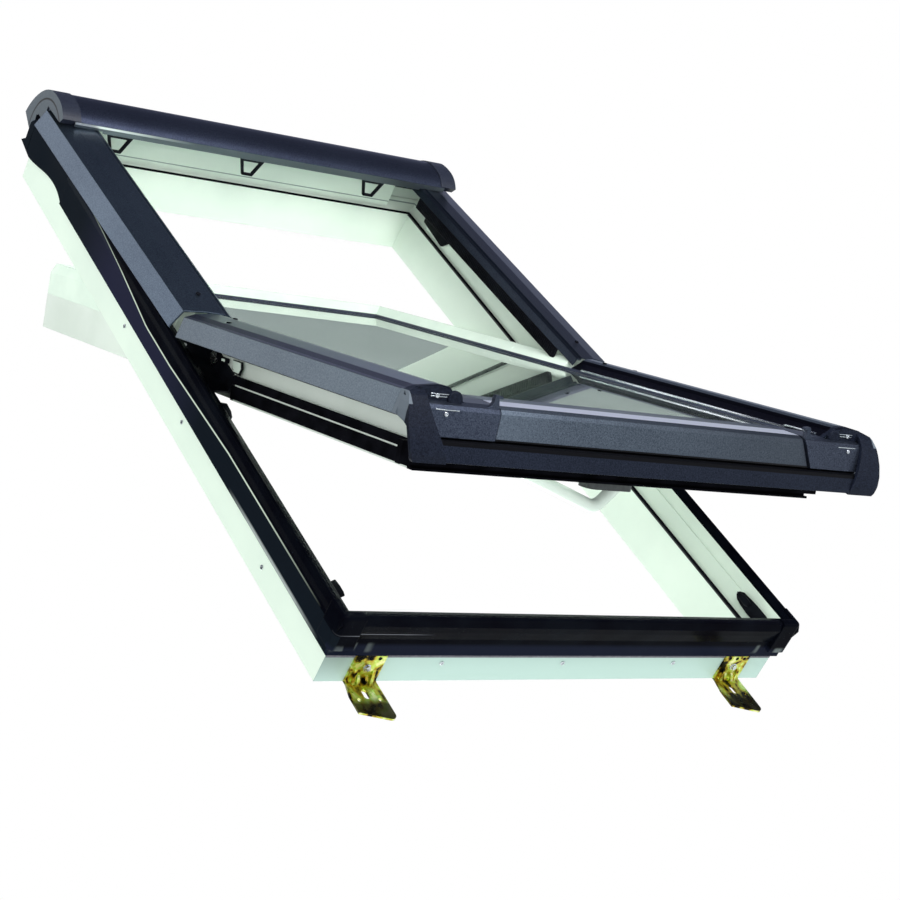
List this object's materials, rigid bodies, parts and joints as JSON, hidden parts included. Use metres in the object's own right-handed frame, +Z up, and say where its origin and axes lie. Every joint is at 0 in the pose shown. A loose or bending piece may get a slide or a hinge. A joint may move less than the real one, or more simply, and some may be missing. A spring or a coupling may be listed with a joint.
{
  "type": "roof window",
  "caption": "Centre-pivot roof window with double glazing, shown swung open, with side covers, hood, rubber skirt and mounting brackets.",
  "frame": {"origin": "underside of the lower left bracket's flange, between its slot and its end", "axes": "+X across the window to the right as seen from outside, +Y horizontally up the roof towards the ridge, +Z up; the roof plane rises 45 degrees towards +Y"},
  "size_m": [0.778, 1.1169, 0.9983],
  "materials": {
    "frame_plastic": "smooth white window plastic",
    "sash_plastic": "smooth white window plastic",
    "skirt_rubber": "glossy black rubber",
    "seal_rubber": "black gasket rubber",
    "cover_metal": "anthracite metallic coating",
    "black_plastic": "grained dark plastic",
    "bracket_steel": "yellow chromated zinc",
    "hinge_steel": "zinc plated",
    "pane_glass": "clear coated glass",
    "spacer_metal": "satin",
    "handle_plastic": "white gloss",
    "handle_base_plastic": "grey"
  },
  "bodies": {
    "root": {"apron_carrier": "black_plastic", "apron_end_left": "black_plastic", "apron_end_right": "black_plastic", "apron_lower_panel": "cover_metal", "apron_upper_panel": "cover_metal", "bracket_lower_left": "bracket_steel", "bracket_lower_right": "bracket_steel", "brackets_upper": "bracket_steel", "corner_cap_left": "black_plastic", "corner_cap_right": "black_plastic", "cover_rails": "frame_plastic", "frame_head": "frame_plastic", "frame_left_stile": "frame_plastic", "frame_right_stile": "frame_plastic", "frame_sill": "frame_plastic", "glass_inner_pane": "pane_glass", "glass_outer_pane": "pane_glass", "glass_spacer": "spacer_metal", "glazing_bead": "seal_rubber", "handle_base": "handle_base_plastic", "handle_bow": "handle_plastic", "hinge_frame_plates": "black_plastic", "hinge_pins": "hinge_steel", "hood_bearer": "frame_plastic", "hood_clips": "black_plastic", "hood_end_caps": "black_plastic", "hood_shell": "cover_metal", "lock_keepers": "black_plastic", "reveal_gasket": "seal_rubber", "sash_bottom_rail": "sash_plastic", "sash_cover_left": "cover_metal", "sash_cover_rails": "black_plastic", "sash_cover_right": "cover_metal", "sash_left_stile": "sash_plastic", "sash_right_stile": "sash_plastic", "sash_seals": "seal_rubber", "sash_top_rail": "sash_plastic", "sash_trim": "sash_plastic", "side_catches": "black_plastic", "skirt_boots": "skirt_rubber", "skirt_head": "skirt_rubber", "skirt_sides": "skirt_rubber", "skirt_sill": "skirt_rubber", "upper_cover_left": "cover_metal", "upper_cover_right": "cover_metal"}
  },
  "joints": []
}
